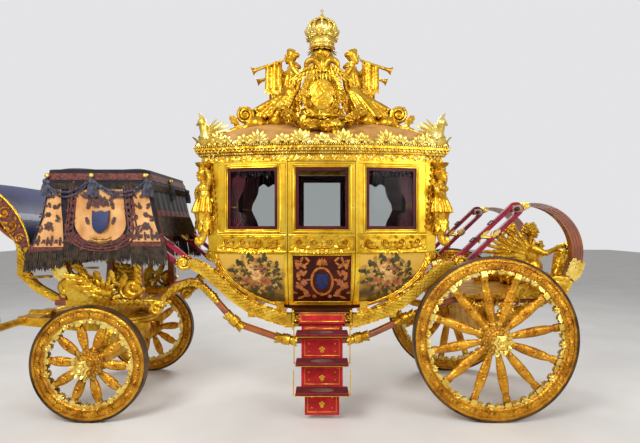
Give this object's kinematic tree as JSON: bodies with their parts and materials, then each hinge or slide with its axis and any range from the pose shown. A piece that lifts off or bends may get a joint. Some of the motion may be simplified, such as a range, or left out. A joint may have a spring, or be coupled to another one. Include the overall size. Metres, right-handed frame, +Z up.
{
  "type": "gilded state coach",
  "caption": "Gilded state coach with a bowed glazed body slung on leather braces, carved wheels, coachman's seat, doors and steps.",
  "frame": {"origin": "on the floor, at the middle of the footprint", "axes": "+X towards the rear, +Z up, -Y is the coach's left side, which carries the steps"},
  "size_m": [5.486, 1.66, 3.8799],
  "materials": {
    "gilt": "gloss",
    "gilt_wheel": "gloss",
    "iron": "satin",
    "perch": "satin",
    "spring": "satin",
    "leather": "satin",
    "panel": "gloss",
    "sash": "gloss",
    "glass": "clear",
    "dome": "satin",
    "cloth": "matt",
    "step": "matt",
    "velvet": "matt"
  },
  "bodies": {
    "carriage": {"benches": "velvet", "body_floor": "panel", "box_stand": "gilt", "corner_finials": "gilt", "corner_posts": "gilt", "cornice": "gilt", "crown": "gilt", "footboard": "gilt", "footboard_brackets": "gilt", "front_braces": "leather", "front_brackets": "gilt", "front_carriage": "gilt", "front_glass": "glass", "front_left_quarter": "panel", "front_right_quarter": "panel", "front_springs": "spring", "front_wall": "panel", "hammercloth": "cloth", "medallions": "gilt", "perches": "perch", "quarter_glass": "glass", "quarter_sashes": "sash", "rear_braces": "leather", "rear_brackets": "gilt", "rear_carriage": "gilt", "rear_figures": "gilt", "rear_left_quarter": "panel", "rear_right_quarter": "panel", "rear_springs": "spring", "rear_wall": "panel", "roof": "dome", "roof_cresting": "gilt", "roof_figures": "gilt", "roof_plinth": "gilt", "slings": "gilt", "step_housing": "gilt"},
    "fore_carriage": {"fore_carriage": "gilt"},
    "front_left_wheel": {"front_left_wheel": "gilt_wheel", "front_left_tyre": "iron"},
    "front_right_wheel": {"front_right_wheel": "gilt_wheel", "front_right_tyre": "iron"},
    "rear_left_wheel": {"rear_left_wheel": "gilt_wheel", "rear_left_tyre": "iron"},
    "rear_right_wheel": {"rear_right_wheel": "gilt_wheel", "rear_right_tyre": "iron"},
    "left_door": {"left_door": "panel", "left_door_sash": "sash", "left_door_glass": "glass"},
    "right_door": {"right_door": "panel", "right_door_sash": "sash", "right_door_glass": "glass"},
    "step_leaf_1": {"step_leaf_1": "step"},
    "step_leaf_2": {"step_leaf_2": "step"},
    "step_leaf_3": {"step_leaf_3": "step"}
  },
  "joints": [
    {"name": "steering", "type": "hinge", "parent": "carriage", "child": "fore_carriage", "pos_m": [-1.593, 0, 0.7], "axis": [0, 0, 1], "range_deg": [-20, 20]},
    {"name": "front_left_roll", "type": "hinge", "parent": "fore_carriage", "child": "front_left_wheel", "pos_m": [-1.593, -0.685, 0.5], "axis": [0, 1, 0], "continuous": true},
    {"name": "front_right_roll", "type": "hinge", "parent": "fore_carriage", "child": "front_right_wheel", "pos_m": [-1.593, 0.685, 0.5], "axis": [0, 1, 0], "continuous": true},
    {"name": "rear_left_roll", "type": "hinge", "parent": "carriage", "child": "rear_left_wheel", "pos_m": [1.897, -0.685, 0.71], "axis": [0, 1, 0], "continuous": true},
    {"name": "rear_right_roll", "type": "hinge", "parent": "carriage", "child": "rear_right_wheel", "pos_m": [1.897, 0.685, 0.71], "axis": [0, 1, 0], "continuous": true},
    {"name": "left_door_swing", "type": "hinge", "parent": "carriage", "child": "left_door", "pos_m": [0.097, -0.60204, 1.6], "axis": [0, 0, -1], "range_deg": [0, 80]},
    {"name": "right_door_swing", "type": "hinge", "parent": "carriage", "child": "right_door", "pos_m": [0.097, 0.60204, 1.6], "axis": [0, 0, 1], "range_deg": [0, 80]},
    {"name": "step_fold_1", "type": "hinge", "parent": "carriage", "child": "step_leaf_1", "pos_m": [0.407, -0.598, 0.817], "axis": [-1, 0, 0], "range_deg": [0, 40]},
    {"name": "step_fold_2", "type": "hinge", "parent": "step_leaf_1", "child": "step_leaf_2", "pos_m": [0.407, -0.624, 0.728], "axis": [-1, 0, 0], "range_deg": [0, 30]},
    {"name": "step_fold_3", "type": "hinge", "parent": "step_leaf_2", "child": "step_leaf_3", "pos_m": [0.407, -0.65, 0.489], "axis": [-1, 0, 0], "range_deg": [0, 30]}
  ]
}
